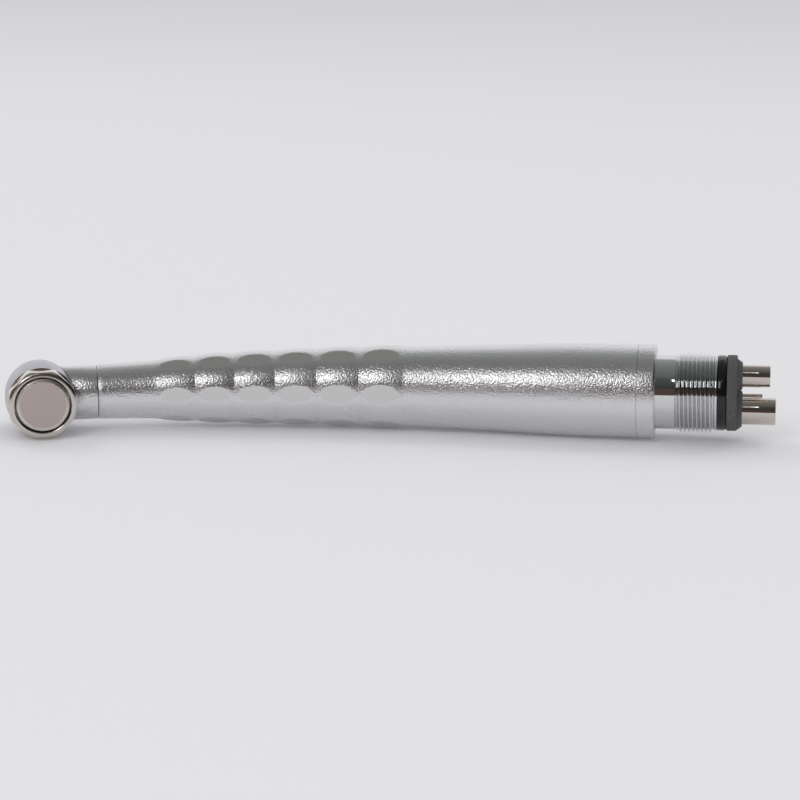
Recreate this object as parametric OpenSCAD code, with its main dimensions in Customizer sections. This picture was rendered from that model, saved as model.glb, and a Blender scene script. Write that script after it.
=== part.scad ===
// High speed dental handpiece: a push-button air turbine head on a bent hollow handle,
// which ends in a threaded hose connector with four tubes.
// X runs back along the handle, the button faces -Y and the bend lies in the XY plane.
// The origin is the centre of the hose thread. Lengths are in millimetres.

/* [Handle] */
// Angle between the handle and the neck
bend_angle = 18; // [10:1:22]
// Length of the bend, measured along the axis
bend_length = 58.5; // [56:0.5:62]
// Distance from the hose thread's centre forward to the start of the bend
bend_start = 32.7; // [31:0.1:35]
// Radius of the neck and of the handle's front end
neck_r = 4.11; // [4.05:0.01:4.2]
// Radius at the first grip ring
grip_front_r = 4.45; // [4.4:0.01:4.6]
// Radius at the last grip ring
grip_rear_r = 6.14; // [6:0.01:6.3]
// Radius of the handle at its thickest
body_r = 7.07; // [6.9:0.01:7.2]
// Length of the first grip band
first_band = 5.9; // [5.6:0.1:6]
// How much longer each next band is
band_growth = 0.18; // [0.1:0.01:0.2]
// Height of the first band's crown over its end rings
band_crown = 0.22; // [0.1:0.01:0.25]
// How much higher each next band's crown is
crown_growth = 0.011; // [0:0.001:0.015]
// Share of a band's length that its finger flats take
flat_share = 0.84; // [0.7:0.01:0.9]
// Thickness of the handle's wall
handle_wall = 0.7; // [0.6:0.05:0.8]

/* [Head] */
// Distance from the handle's front seam to the head's axis
neck_length = 8.65; // [8.4:0.05:9]
// Tilt of the head's axis beyond square to the neck
head_tilt = 2; // [0:0.5:3]
// Radius of the head's shell at its widest
head_r = 5.3; // [5.25:0.01:5.4]
// Height of the head's bur side under the neck's axis
head_below = 5.4; // [5.38:0.01:5.42]
// Height of the back cap's rim over the neck's axis
cap_top = 8.26; // [8.24:0.01:8.3]
// Radius of the back cap's corners
cap_r = 5.2; // [5.15:0.01:5.25]
// Distance between the back cap's opposite wrench flats
cap_across_flats = 9.84; // [9.8:0.01:10]
// Radius of the push button
button_r = 4.02; // [3.98:0.01:4.06]
// Radius of the button's opening in the back cap
button_hole_r = 4.2; // [4.18:0.01:4.22]
// Travel of the push button
button_travel = 0.8; // [0.6:0.1:0.8]

/* [Turbine] */
// Radius of the bur shank that the chuck holds
shank_r = 0.8; // [0.78:0.01:0.8]
// Outer radius of the ball bearings
bearing_r = 3.175; // [3.17:0.005:3.18]
// Bore radius of the ball bearings
bearing_bore_r = 1.5875; // [1.585:0.0005:1.59]
// Width of the ball bearings
bearing_width = 2.38; // [2.3:0.01:2.4]
// Radius of the bearing balls
ball_r = 0.5; // [0.48:0.01:0.5]
// Number of balls in each bearing
ball_count = 7; // [6:1:8]
// Radius of the turbine wheel
impeller_r = 4.05; // [3.95:0.01:4.1]
// Number of turbine blades
blade_count = 8; // [7:1:10]

/* [Connector] */
// Outer radius of the hose thread
thread_r = 6; // [5.95:0.01:6.05]
// Pitch of the hose thread
thread_pitch = 0.635; // [0.6:0.005:0.65]
// Number of turns of the hose thread
thread_turns = 8; // [7:1:8]
// Radius of the connector's plain chrome stretch
chrome_r = 5.63; // [5.55:0.01:5.65]
// Outer radius of the exhaust tube
exhaust_r = 2.05; // [2:0.01:2.1]
// Outer radius of the drive air tube
drive_r = 1.67; // [1.6:0.01:1.7]
// Outer radius of the water and chip air tubes
small_r = 0.8; // [0.7:0.05:0.85]

/* [Hidden] */
$fn = 64;

// Axis of the handle: s is 0 where the bend starts, positive towards the rear
bend_r = bend_length * 180 / (PI * bend_angle);
function axis_turn(s) = s >= 0 ? 0 : min(-s, bend_length) * 180 / (PI * bend_r);
function axis_point(s) = s >= 0 ? [s - bend_start, 0, 0]
  : [-bend_r * sin(axis_turn(s)) - bend_start, -bend_r * (1 - cos(axis_turn(s))), 0];
seam = axis_point(-bend_length);

// Grip rings and the handle's outline. Each band is crowned between two rings, and six finger
// flats are cut into it, which end where they run out of the crown.
band_count = 6;
first_ring = -49.5;
seam_x = -8.6;
rear_end_x = -5.9;
rear_seam = bend_start + seam_x;
function ring_at(i) = first_ring + i * first_band + band_growth * i * (i - 1) / 2;
function grip_r(share) = grip_front_r + share * (grip_rear_r - grip_front_r);
outline = [[-bend_length, neck_r], [ring_at(0), grip_front_r], [ring_at(1), grip_r(0.28)],
  [ring_at(2), grip_r(0.48)], [ring_at(4), grip_r(0.74)], [ring_at(6), grip_rear_r],
  [3.7, grip_rear_r + 0.49], [11, body_r - 0.13], [16, body_r - 0.02], [rear_seam, body_r]];
last = len(outline) - 1;
function slope(i) = (outline[min(i + 1, last)][1] - outline[max(i - 1, 0)][1])
  / (outline[min(i + 1, last)][0] - outline[max(i - 1, 0)][0]);
function span_of(s, i = 0) = i >= last - 1 || s < outline[i + 1][0] ? i : span_of(s, i + 1);
function hermite(a, b, ma, mb, w, t) = a * (1 + 2 * t) * pow(1 - t, 2) + b * t * t * (3 - 2 * t)
  + w * (ma * t * pow(1 - t, 2) - mb * t * t * (1 - t));
function smooth_r(s) = let (i = span_of(s), w = outline[i + 1][0] - outline[i][0])
  hermite(outline[i][1], outline[i + 1][1], slope(i), slope(i + 1), w, (s - outline[i][0]) / w);
function band_of(s, i = 0) = i >= band_count ? -1
  : (s >= ring_at(i) && s < ring_at(i + 1)) ? i : band_of(s, i + 1);
function off_row(theta) = abs(((theta + 30) % 60) - 30);
function handle_r(s, theta) = let (i = band_of(s), r = smooth_r(s)) i < 0 ? r
  : let (crown = band_crown + crown_growth * i, u = 2 * (s - ring_at(i)) / (ring_at(i + 1) - ring_at(i)) - 1)
  min(r + crown * (1 - u * u), (r + crown * (1 - flat_share * flat_share)) / cos(off_row(theta)));

// Points of one ring round the axis
ring_sides = 36;
function ring_points(s, radii) = let (a = axis_turn(s), p = axis_point(s))
  [for (j = [0:ring_sides - 1]) let (t = 360 * j / ring_sides, r = radii[j])
    p + r * [-sin(a) * cos(t), cos(a) * cos(t), sin(t)]];
function even(r) = [for (j = [0:ring_sides - 1]) r];
function outer_ring(s) = ring_points(s,
  [for (j = [0:ring_sides - 1]) handle_r(s, 360 * j / ring_sides)]);
outer_stations = concat([for (s = [-bend_length:1.5:ring_at(0) - 0.7]) s],
  [for (i = [0:band_count - 1]) for (k = [0:7]) ring_at(i) + (ring_at(i + 1) - ring_at(i)) * k / 8],
  [for (k = [0:15]) ring_at(band_count) + (rear_seam - ring_at(band_count)) * k / 15]);
connector_bore_r = 5.85;
connector_bore_start = rear_seam - 12;
ring_thinning = 0.12;
inner_stations = [-bend_length, ring_at(0), ring_at(1), ring_at(2), ring_at(4), ring_at(6), 0, 6];

// Head: z runs along the head's axis towards the button, x back along the neck
module head_frame() {
  translate(seam) rotate([0, 0, bend_angle]) translate([-neck_length, 0, 0])
    rotate([90, 0, head_tilt]) children();
}
module neck_frame() {
  translate(seam) rotate([0, 0, bend_angle]) rotate([0, 90, 0]) children();
}
module tube(r, inner, from, to) {
  translate([0, 0, from]) difference() {
    cylinder(h = to - from, r = r);
    translate([0, 0, -1]) cylinder(h = to - from + 2, r = inner);
  }
}
module torus(centre_r, r, height) {
  translate([0, 0, height]) rotate_extrude() translate([centre_r, 0]) circle(r = r, $fn = 32);
}
module along_x(from, to, r, y = 0, z = 0) {
  translate([from, y, z]) rotate([0, 90, 0]) cylinder(h = to - from, r = r);
}

// Levels and radii along the head's axis
front_bearing_z = -4.45;
rear_bearing_z = 2.3;
chamber_low = -1.75;
chamber_r = 4.3;
skirt_low = 2.15;
skirt_r = 4.6;
flange_low = 5.6;
web_low = 4.98;
web_top = 5.4;
seat_r = bearing_r + 0.12;
oring_r = 0.35;
oring_groove_width = 0.8;
ledge_height = 0.3;
nose_z = -5.5;
spindle_top = 4.9;
collet_top = 2.9;
wedge_low = 2;
spigot_r = 3.35;
fit_gap = 0.02;

module head_outline() {
  widest_z = 2.4;
  fall = widest_z + head_below;
  foot_r = 2.95;
  corner = 0.45;
  top_draw = 0.14;
  polygon(concat([[0, flange_low], [head_r - top_draw, flange_low]],
    [for (k = [1:3])
      [head_r - top_draw * pow(1 - k / 3, 2), flange_low - (flange_low - widest_z) * k / 3]],
    [for (k = [1:9]) let (t = k / 10)
      [foot_r + corner + (head_r - foot_r - corner) * sqrt(1 - pow(t, 2.1)),
        widest_z - (fall - corner) * t]],
    [for (k = [0:3])
      [foot_r + corner * cos(30 * k), -head_below + corner * (1 - sin(30 * k))]],
    [[0, -head_below]]));
}

// Groove for a bearing's O-ring
module oring_groove(z) {
  translate([0, 0, z + (bearing_width - oring_groove_width) / 2])
    cylinder(h = oring_groove_width, r = bearing_r + 2 * oring_r + fit_gap);
}

// Bores are cut from the flange side: cap seat, turbine chamber, bearing seat and nose hole.
// The drive air, exhaust, water and chip air passages run in from the neck.
module head_shell() {
  nose_hole_r = 2.1;
  drive_y = 2.2;
  exhaust_y = -1.4;
  spray_y = 1.1;
  spray_z = -2.2;
  spray_tilt = -151;
  color("lightsteelblue") head_frame() difference() {
    union() {
      rotate_extrude() head_outline();
      rotate([0, -head_tilt, 0]) along_x(2, neck_length + 2.4, spigot_r);
    }
    translate([0, 0, skirt_low]) cylinder(h = 10, r = skirt_r + fit_gap);
    translate([0, 0, chamber_low]) cylinder(h = 5, r = chamber_r);
    translate([0, 0, front_bearing_z]) cylinder(h = 5, r = seat_r);
    oring_groove(front_bearing_z);
    translate([0, 0, -7]) cylinder(h = 5, r = nose_hole_r);
    rotate([0, -head_tilt, 0]) {
      along_x(2.5, 12, jet_r + fit_gap, drive_y);
      along_x(2.5, 12, 1.3, exhaust_y);
      for (side = [-1, 1]) {
        along_x(4.85, 12, 0.5, side * spray_y, spray_z);
        translate([5.1, side * spray_y, spray_z]) rotate([0, spray_tilt, 0]) cylinder(h = 3.7, r = 0.13);
      }
    }
  }
}

module neck_sleeve() {
  color("silver") difference() {
    neck_frame() tube(neck_r - 0.03, spigot_r + fit_gap, 3.5 - neck_length, 0);
    head_frame() scale(1.004) rotate_extrude() head_outline();
  }
}

// The cap's rim is round at its ledge and has eight wrench flats above it
module back_cap() {
  rim = cap_top - flange_low;
  top_bevel = 0.55;
  foot_bevel = 0.15;
  web_hole_r = 1.7;
  color("gainsboro") head_frame() difference() {
    union() {
      tube(skirt_r, seat_r, skirt_low, flange_low + 0.2);
      translate([0, 0, flange_low]) intersection() {
        rotate_extrude() polygon([[0, fit_gap], [cap_r - foot_bevel, fit_gap], [cap_r, foot_bevel + fit_gap],
          [cap_r, rim - top_bevel], [cap_r - top_bevel, rim], [0, rim]]);
        union() {
          rotate([0, 0, 22.5]) cylinder(h = 4, r = cap_across_flats / 2 / cos(22.5), $fn = 8);
          cylinder(h = ledge_height, r = cap_r);
        }
      }
      tube(skirt_r, web_hole_r, web_low, web_top);
    }
    oring_groove(rear_bearing_z);
    translate([0, 0, web_top]) cylinder(h = 5, r = button_hole_r);
    translate([0, 0, retainer_low - 0.05]) cylinder(h = retainer_thick + 0.1, r = 4.5);
    translate([0, 0, skirt_low]) cylinder(h = 10, r = web_hole_r);
    translate([0, 0, skirt_low - 1]) cylinder(h = web_low - skirt_low + 1, r = seat_r);
  }
}

// The button's groove is longer than the retainer is thick by its travel
button_face = 8.36;
button_foot = 6.25;
button_back = 7.7;
retainer_low = 6.55;
retainer_thick = 0.25;
module push_button() {
  bevel = 0.45;
  bevel_drop = 0.22;
  groove_r = 3.75;
  groove_low = retainer_low - 0.07;
  groove_high = groove_low + retainer_thick + button_travel + 0.15;
  wall_r = 3.3;
  post_r = 0.8;
  post_low = 5.62;
  color("rosybrown") head_frame() rotate_extrude() polygon([[0, button_face],
    [button_r - bevel, button_face], [button_r, button_face - bevel_drop], [button_r, groove_high],
    [groove_r, groove_high], [groove_r, groove_low], [button_r, groove_low], [button_r, button_foot],
    [wall_r, button_foot], [wall_r, button_back], [post_r, button_back], [post_r, post_low], [0, post_low]]);
}

module button_retainer() {
  opening = 40;
  color("dimgray") head_frame() translate([0, 0, retainer_low]) rotate([0, 0, opening / 2])
    rotate_extrude(angle = 360 - opening) translate([3.82, 0]) square([0.62, retainer_thick]);
}

function helix_point(mean_r, pitch, from, wire_r, a, b) =
  [(mean_r + wire_r * cos(b)) * cos(a), (mean_r + wire_r * cos(b)) * sin(a),
    from + pitch * a / 360 + wire_r * sin(b)];
module coil(mean_r, wire_r, from, to, turns, steps = 20, sides = 8) {
  pitch = (to - from - 2 * wire_r) / turns;
  count = ceil(turns * steps);
  rings = [for (i = [0:count]) [for (j = [0:sides - 1])
    helix_point(mean_r, pitch, from + wire_r, wire_r, 360 * turns * i / count, 360 * j / sides)]];
  polyhedron([for (ring = rings) each ring], concat(
    [[for (j = [0:sides - 1]) j]], [[for (j = [0:sides - 1]) count * sides + sides - 1 - j]],
    [for (i = [0:count - 1]) for (j = [0:sides - 1])
      let (a = i * sides + j, b = i * sides + (j + 1) % sides)
      each [[a, a + sides, b], [b, a + sides, b + sides]]]), convexity = 6);
}

module button_spring() {
  color("slategray") head_frame() coil(2.5, 0.16, web_top + 0.01, button_back - 0.01, 3.5);
}

// Bearings: each race stands clear of the ring of ball centres
ball_ring_r = (bearing_r + bearing_bore_r) / 2;
groove_gap = 0.03;
race_clear = 0.34;
cage_half = 0.26;
cage_inset = 0.4;
module outer_race(z) {
  color("lightgray") head_frame() difference() {
    tube(bearing_r, ball_ring_r + race_clear, z, z + bearing_width);
    torus(ball_ring_r, ball_r + groove_gap, z + bearing_width / 2);
  }
}
module inner_race(z) {
  color("lightgray") head_frame() difference() {
    tube(ball_ring_r - race_clear, bearing_bore_r, z, z + bearing_width);
    torus(ball_ring_r, ball_r + groove_gap, z + bearing_width / 2);
  }
}
module around_balls(z) {
  for (i = [0:ball_count - 1]) rotate([0, 0, 360 * i / ball_count])
    translate([ball_ring_r, 0, z + bearing_width / 2]) children();
}
module cage(z) {
  color("peru") head_frame() difference() {
    tube(ball_ring_r + cage_half, ball_ring_r - cage_half, z + cage_inset,
      z + bearing_width - cage_inset);
    around_balls(z) rotate([0, 90, 0]) translate([0, 0, -1]) cylinder(h = 2, r = ball_r + groove_gap);
  }
}
module balls(z) {
  color("whitesmoke") head_frame() around_balls(z) sphere(r = ball_r, $fn = 32);
}
module rear_bearing_outer_race() { outer_race(rear_bearing_z); }
module rear_bearing_inner_race() { inner_race(rear_bearing_z); }
module rear_bearing_cage() { cage(rear_bearing_z); }
module rear_bearing_balls() { balls(rear_bearing_z); }
module front_bearing_outer_race() { outer_race(front_bearing_z); }
module front_bearing_inner_race() { inner_race(front_bearing_z); }
module front_bearing_cage() { cage(front_bearing_z); }
module front_bearing_balls() { balls(front_bearing_z); }

module bearing_oring(z) {
  squeeze = 0.01;
  color("saddlebrown") head_frame()
    torus(bearing_r + oring_r + squeeze, oring_r - squeeze, z + bearing_width / 2);
}
module rear_bearing_oring() { bearing_oring(rear_bearing_z); }
module front_bearing_oring() { bearing_oring(front_bearing_z); }

module preload_washer() {
  color("slategray") head_frame() tube(3.1, 2.75, rear_bearing_z + bearing_width + fit_gap,
    web_low - fit_gap);
}

shoulder_r = 1.95;
spindle_bore_r = 1.15;
module spindle() {
  shaft_r = bearing_bore_r - 0.005;
  gap = 0.01;
  color("silver") head_frame() difference() {
    union() {
      translate([0, 0, nose_z]) cylinder(h = spindle_top - nose_z, r = shaft_r);
      translate([0, 0, front_bearing_z + bearing_width + gap])
        cylinder(h = rear_bearing_z - front_bearing_z - bearing_width - 2 * gap, r = shoulder_r);
    }
    translate([0, 0, nose_z - 1]) cylinder(h = 14, r = spindle_bore_r);
  }
}

// Each blade is the crescent between two circles
module impeller() {
  hub_r = 2.5;
  low = -1.35;
  high = 1.75;
  web = 0.3;
  color("goldenrod") head_frame() {
    difference() {
      union() {
        translate([0, 0, low]) cylinder(h = high - low, r = hub_r);
        translate([0, 0, 0.1]) cylinder(h = web, r = impeller_r - web);
        translate([0, 0, low + 0.1]) linear_extrude(high - low - 0.2) for (i = [0:blade_count - 1])
          rotate(360 * i / blade_count) intersection() {
            difference() {
              circle(r = impeller_r);
              circle(r = hub_r - web);
            }
            difference() {
              translate([3, 1.5]) circle(r = 1.5);
              translate([3.05, 1.9]) circle(r = 1.55);
            }
          }
      }
      translate([0, 0, low - 1]) cylinder(h = 6, r = shoulder_r + 0.005);
    }
  }
}

module chuck_collet() {
  slot = 0.16;
  color("darkgray") head_frame() difference() {
    translate([0, 0, nose_z]) cylinder(h = collet_top - nose_z, r = spindle_bore_r - 0.005);
    translate([0, 0, nose_z - 1]) cylinder(h = wedge_low - nose_z + 1, r = shank_r);
    translate([0, 0, wedge_low - 0.01]) cylinder(h = collet_top - wedge_low + 0.02, r1 = 0.35, r2 = 0.76);
    for (a = [0, 60, 120]) rotate([0, 0, a]) translate([-2, -slot / 2, -2]) cube([4, slot, 10]);
  }
}

// The plunger's cone spreads the collet when the button presses on its head
plunger_head = 4;
module chuck_plunger() {
  tip_z = 2.67;
  stem_r = 0.58;
  head_top = 5.3;
  color("darkgray") head_frame() rotate_extrude() polygon([[0, tip_z], [0.36, tip_z], [stem_r, tip_z + 0.5],
    [stem_r, plunger_head], [1.1, plunger_head], [1.1, head_top - 0.1], [1, head_top], [0, head_top]]);
}

module chuck_spring() {
  color("slategray") head_frame() coil(0.87, 0.1, collet_top + 0.01, plunger_head - 0.01, 2, 16, 6);
}

jet_r = 0.88;
module air_jet() {
  jet_length = 2.4;
  throat_r = 0.45;
  funnel = 1.2;
  color("darkgoldenrod") head_frame() rotate([0, -head_tilt, 0]) translate([4.6, 2.2, 0])
    rotate([0, 90, 0]) difference() {
      cylinder(h = jet_length, r = jet_r);
      translate([0, 0, -1]) cylinder(h = jet_length + 2, r = throat_r);
      translate([0, 0, jet_length - funnel]) cylinder(h = funnel + 0.1, r1 = throat_r, r2 = 0.8);
    }
}

// A closed solid from a loop of rings, such as an outside that turns in and comes back inside
module loop_solid(rings) {
  n = len(rings[0]);
  m = len(rings);
  polyhedron([for (ring = rings) each ring], [for (i = [0:m - 1]) for (j = [0:n - 1])
    let (a = i * n + j, b = i * n + (j + 1) % n, c = ((i + 1) % m) * n + (j + 1) % n,
      d = ((i + 1) % m) * n + j)
      each [[a, b, c], [a, c, d]]], convexity = 8);
}

module handle_shell() {
  count = len(inner_stations);
  color("silver") loop_solid(concat(
    [for (s = outer_stations) outer_ring(s)],
    [for (s = [rear_seam, connector_bore_start]) ring_points(s, even(connector_bore_r))],
    [for (k = [count - 1:-1:0]) let (s = inner_stations[k])
      ring_points(s, even(smooth_r(s) - handle_wall - (k > 0 ? ring_thinning : 0)))]));
}

// A tube inside the handle: y and z are its place beside the axis
function tube_ring(s, r, y, z) = let (a = axis_turn(s), p = axis_point(s), n = [-sin(a), cos(a), 0])
  [for (j = [0:11]) p + (y + r * cos(30 * j)) * n + [0, 0, z + r * sin(30 * j)]];
module bent_tube(r, inner, y, z) {
  stations = concat([for (k = [0:14]) bend_length * (k / 14 - 1)], [bend_start + connector_front + 1.9]);
  count = len(stations);
  loop_solid(concat([for (s = stations) tube_ring(s, r, y, z)],
    [for (k = [count - 1:-1:0]) tube_ring(stations[k], inner, y, z)]));
}
inner_drive_at = [0, 2.2];
inner_small_at = [2.2, 1.1];
inner_drive_r = 0.85;
inner_small_r = 0.45;
module drive_air_tube() {
  color("silver") bent_tube(inner_drive_r, 0.6, inner_drive_at[0], inner_drive_at[1]);
}
module water_tube() {
  color("silver") bent_tube(inner_small_r, 0.28, inner_small_at[0], -inner_small_at[1]);
}
module chip_air_tube() {
  color("silver") bent_tube(inner_small_r, 0.28, inner_small_at[0], inner_small_at[1]);
}

module rear_ring() {
  from = seam_x + 0.05;
  to = rear_end_x;
  bore = chrome_r + 0.04;
  edge = 0.06;
  color("silver") rotate([0, 90, 0]) rotate_extrude() polygon([[bore, from], [body_r - edge, from],
    [body_r, from + edge], [body_r - edge, to - 0.3], [body_r - 0.16, to - 0.08], [body_r - 0.32, to],
    [bore, to]]);
}

// Places of the four air and water lines beside the connector's axis, as [y, z]
exhaust_at = [0, -2.72];
drive_at = [0, 2.65];
water_at = [3.4, -1.55];
chip_at = [3.4, 1.55];
connector_front = -20;
connector_end = 3.3;
gasket_mid = 4.72;
gasket_end = 6.2;
collar_end = 7;
root_step = 0.18;
seal_x = -15.6;
module at_line(place) {
  translate([0, place[0], place[1]]) rotate([0, 90, 0]) children();
}
// Holes for the roots of the four tube ends
module line_holes(from, gap) {
  to = collar_end + 1;
  at_line(exhaust_at) translate([0, 0, connector_front - 1])
    cylinder(h = to - connector_front + 1, r = exhaust_r - root_step + gap);
  at_line(drive_at) translate([0, 0, from]) cylinder(h = to - from, r = drive_r - root_step + gap);
  for (place = [water_at, chip_at]) at_line(place) translate([0, 0, from])
    cylinder(h = to - from, r = small_r - root_step + gap);
}

// The inner tubes end in holes in the connector's front. A cross drilling leads each small
// hole out to the wider ring of tube ends.
module connector_body() {
  nose_r = connector_bore_r - 0.05;
  root_r = thread_r - 0.36;
  crest = 0.11;
  flank = (thread_pitch - 2 * crest) / 2;
  thread_from = -(thread_pitch * thread_turns + crest) / 2 - flank;
  groove = 0.4;
  groove_r = 5.36;
  band_r = chrome_r + 0.12;
  small_step = [chip_at[0] - inner_small_at[0], chip_at[1] - inner_small_at[1]];
  color("silver") difference() {
    rotate([0, 90, 0]) rotate_extrude() polygon(concat([[0, connector_front], [nose_r, connector_front],
      [nose_r, seal_x - groove], [groove_r, seal_x - groove], [groove_r, seal_x + groove],
      [nose_r, seal_x + groove], [nose_r, seam_x], [chrome_r, seam_x],
      [chrome_r, thread_from - 0.1], [root_r, thread_from]],
      [for (i = [0:thread_turns]) let (x = thread_from + i * thread_pitch)
        each [[root_r, x + 0.01], [thread_r, x + flank], [thread_r, x + flank + crest],
          [root_r, x + 2 * flank + crest]]],
      [[band_r, -thread_from + 0.45], [band_r, connector_end - 0.12],
        [chrome_r, connector_end], [0, connector_end]]));
    line_holes(-5, fit_gap);
    at_line(inner_drive_at) translate([0, 0, -25]) cylinder(h = 25, r = inner_drive_r + fit_gap);
    for (side = [-1, 1]) {
      at_line([inner_small_at[0], side * inner_small_at[1]]) translate([0, 0, -25])
        cylinder(h = 21, r = inner_small_r + fit_gap);
      translate([-4.5, inner_small_at[0], side * inner_small_at[1]])
        rotate([-side * atan2(small_step[0], small_step[1]) + (side < 0 ? 180 : 0), 0, 0])
        cylinder(h = norm(small_step), r = inner_small_r - 0.05);
    }
    along_x(-25, -13, 0.9);
  }
}

module connector_seal() {
  seal_r = 0.235;
  color("black") rotate([0, 90, 0]) torus(connector_bore_r - 0.25, seal_r, seal_x);
}

module front_gasket() {
  r = 5.65;
  from = connector_end + 0.01;
  to = gasket_mid - 0.01;
  color("black") difference() {
    rotate([0, 90, 0]) rotate_extrude() polygon([[0, from], [r - 0.1, from], [r, from + 0.14],
      [r, to - 0.39], [r - 0.2, to], [0, to]]);
    line_holes(0, fit_gap / 2);
  }
}

// A cone grips each tube end where it leaves the gasket
module cone(place, foot_r, top_r) {
  low = gasket_end - 0.1;
  at_line(place) translate([0, 0, low]) cylinder(h = collar_end - low, r1 = foot_r, r2 = top_r);
}
module rear_gasket() {
  r = 5.7;
  edge = 0.12;
  color("dimgray") difference() {
    union() {
      rotate([0, 90, 0]) rotate_extrude() polygon([[0, gasket_mid], [r - 0.1, gasket_mid],
        [r, gasket_mid + 0.1], [r, gasket_end - edge], [r - edge, gasket_end], [0, gasket_end]]);
      cone(exhaust_at, exhaust_r + 0.85, exhaust_r + 0.35);
      cone(drive_at, drive_r + 0.95, drive_r + 0.4);
      for (place = [water_at, chip_at]) cone(place, small_r + 0.7, small_r + 0.3);
    }
    line_holes(0, fit_gap / 2);
  }
}

// A tube end: its root in the connector and gaskets is slimmer than its free end
module stub(place, r, bore_r, from, to) {
  chamfer = 0.12;
  color("silver") at_line(place) difference() {
    union() {
      translate([0, 0, from]) cylinder(h = to - from, r = r - root_step);
      translate([0, 0, collar_end]) cylinder(h = to - collar_end, r = r);
    }
    translate([0, 0, from - 1]) cylinder(h = to - from + 2, r = bore_r);
    translate([0, 0, to - chamfer]) cylinder(h = chamfer + 0.01, r1 = bore_r, r2 = bore_r + chamfer);
  }
}
module exhaust_stub() { stub(exhaust_at, exhaust_r, exhaust_r - 0.36, -1.5, 12); }
module drive_air_stub() { stub(drive_at, drive_r, drive_r - 0.38, -3, 11.1); }
module water_stub() { stub(water_at, small_r, small_r - 0.35, -3, 10); }
module chip_air_stub() { stub(chip_at, small_r, small_r - 0.35, -3, 10); }

head_shell();
neck_sleeve();
back_cap();
push_button();
button_retainer();
button_spring();
rear_bearing_outer_race();
rear_bearing_inner_race();
rear_bearing_cage();
rear_bearing_balls();
front_bearing_outer_race();
front_bearing_inner_race();
front_bearing_cage();
front_bearing_balls();
rear_bearing_oring();
front_bearing_oring();
preload_washer();
spindle();
impeller();
chuck_collet();
chuck_plunger();
chuck_spring();
air_jet();
handle_shell();
drive_air_tube();
water_tube();
chip_air_tube();
rear_ring();
connector_body();
connector_seal();
front_gasket();
rear_gasket();
exhaust_stub();
drive_air_stub();
water_stub();
chip_air_stub();
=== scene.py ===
# %% [markdown]
# # A dental high speed handpiece
# The object is a slim metal tool: a round head with a push button, a bent handle with finger
# flats, and a chrome hose connector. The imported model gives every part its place. This lesson
# adds the camera, the light, the finishes and the shapes that the plain model leaves out.
# Lengths are in metres, so `MM` turns a size in millimetres into one that Blender uses.

# %% Load the frame
import math

import bpy
from mathutils import Matrix, Vector


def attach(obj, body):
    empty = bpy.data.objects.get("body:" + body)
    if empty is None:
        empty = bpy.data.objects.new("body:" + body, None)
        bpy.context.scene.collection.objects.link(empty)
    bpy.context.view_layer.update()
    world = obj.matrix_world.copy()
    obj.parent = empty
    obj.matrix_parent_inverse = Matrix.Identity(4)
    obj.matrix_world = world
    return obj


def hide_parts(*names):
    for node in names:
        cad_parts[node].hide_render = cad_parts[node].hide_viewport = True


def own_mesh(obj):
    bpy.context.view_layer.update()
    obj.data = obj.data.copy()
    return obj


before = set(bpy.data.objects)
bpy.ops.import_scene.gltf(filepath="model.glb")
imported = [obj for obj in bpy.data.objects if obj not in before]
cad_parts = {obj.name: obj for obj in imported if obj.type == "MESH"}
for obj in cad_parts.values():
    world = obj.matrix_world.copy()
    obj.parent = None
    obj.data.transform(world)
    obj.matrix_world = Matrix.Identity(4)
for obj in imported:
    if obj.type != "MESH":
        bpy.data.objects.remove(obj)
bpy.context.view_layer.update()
MM = 0.001

# %% [markdown]
# ## Where things are
# The handle's axis is straight at the rear and bends on one arc towards the head. Every shape
# that follows the handle needs the same axis, so it is written once, as a function of `s`, the
# distance along the axis from the start of the bend. The head has its own axis: it stands on
# the end of the neck and leans two degrees.

# %% The axis of the handle and the frame of the head
BEND_START = 32.7 * MM
BEND_LENGTH = 58.5 * MM
BEND_ANGLE = math.radians(18)
BEND_RADIUS = BEND_LENGTH / BEND_ANGLE
NECK_LENGTH = 8.65 * MM
HEAD_TILT = math.radians(2)


def axis_turn(s):
    """How far the axis has turned at s, in radians."""
    return min(max(-s, 0.0), BEND_LENGTH) / BEND_RADIUS


def axis_point(s):
    """The point of the handle's axis at s."""
    if s >= 0:
        return Vector((s - BEND_START, 0, 0))
    turn = axis_turn(s)
    point = Vector((-BEND_RADIUS * math.sin(turn) - BEND_START, -BEND_RADIUS * (1 - math.cos(turn)), 0))
    straight = max(-s - BEND_LENGTH, 0.0)
    return point - straight * Vector((math.cos(turn), math.sin(turn), 0))


def axis_place(s, radius, angle):
    """A point at that radius round the axis. Angle 0 is the side away from the button."""
    turn = axis_turn(s)
    side = Vector((-math.sin(turn), math.cos(turn), 0))
    return axis_point(s) + radius * (math.cos(angle) * side + math.sin(angle) * Vector((0, 0, 1)))


SEAM = -BEND_LENGTH
HEAD_CENTRE = axis_point(SEAM - NECK_LENGTH)
HEAD_FRAME = (Matrix.Translation(HEAD_CENTRE) @ Matrix.Rotation(BEND_ANGLE + HEAD_TILT, 4, "Z")
              @ Matrix.Rotation(math.radians(90), 4, "X"))
NECK_FRAME = (Matrix.Translation(axis_point(SEAM)) @ Matrix.Rotation(BEND_ANGLE, 4, "Z")
              @ Matrix.Rotation(math.radians(90), 4, "Y"))
REAR_FRAME = Matrix.Rotation(math.radians(90), 4, "Y")
print("head centre, mm:", [round(c / MM, 2) for c in HEAD_CENTRE])

# %% [markdown]
# ## Camera
# The tool lies on its side and is seen from a little above, with a long lens that keeps its
# lines nearly parallel. The camera's turn is written as a yaw, a pitch and a small roll, which
# is how a tripod head is set.

# %% Camera
CAMERA_PLACE = Vector((9.76, -370.49, 79.14)) * MM
CAMERA_YAW = math.radians(8.404)
CAMERA_PITCH = math.radians(12.26)
CAMERA_ROLL = math.radians(-0.5)

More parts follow.
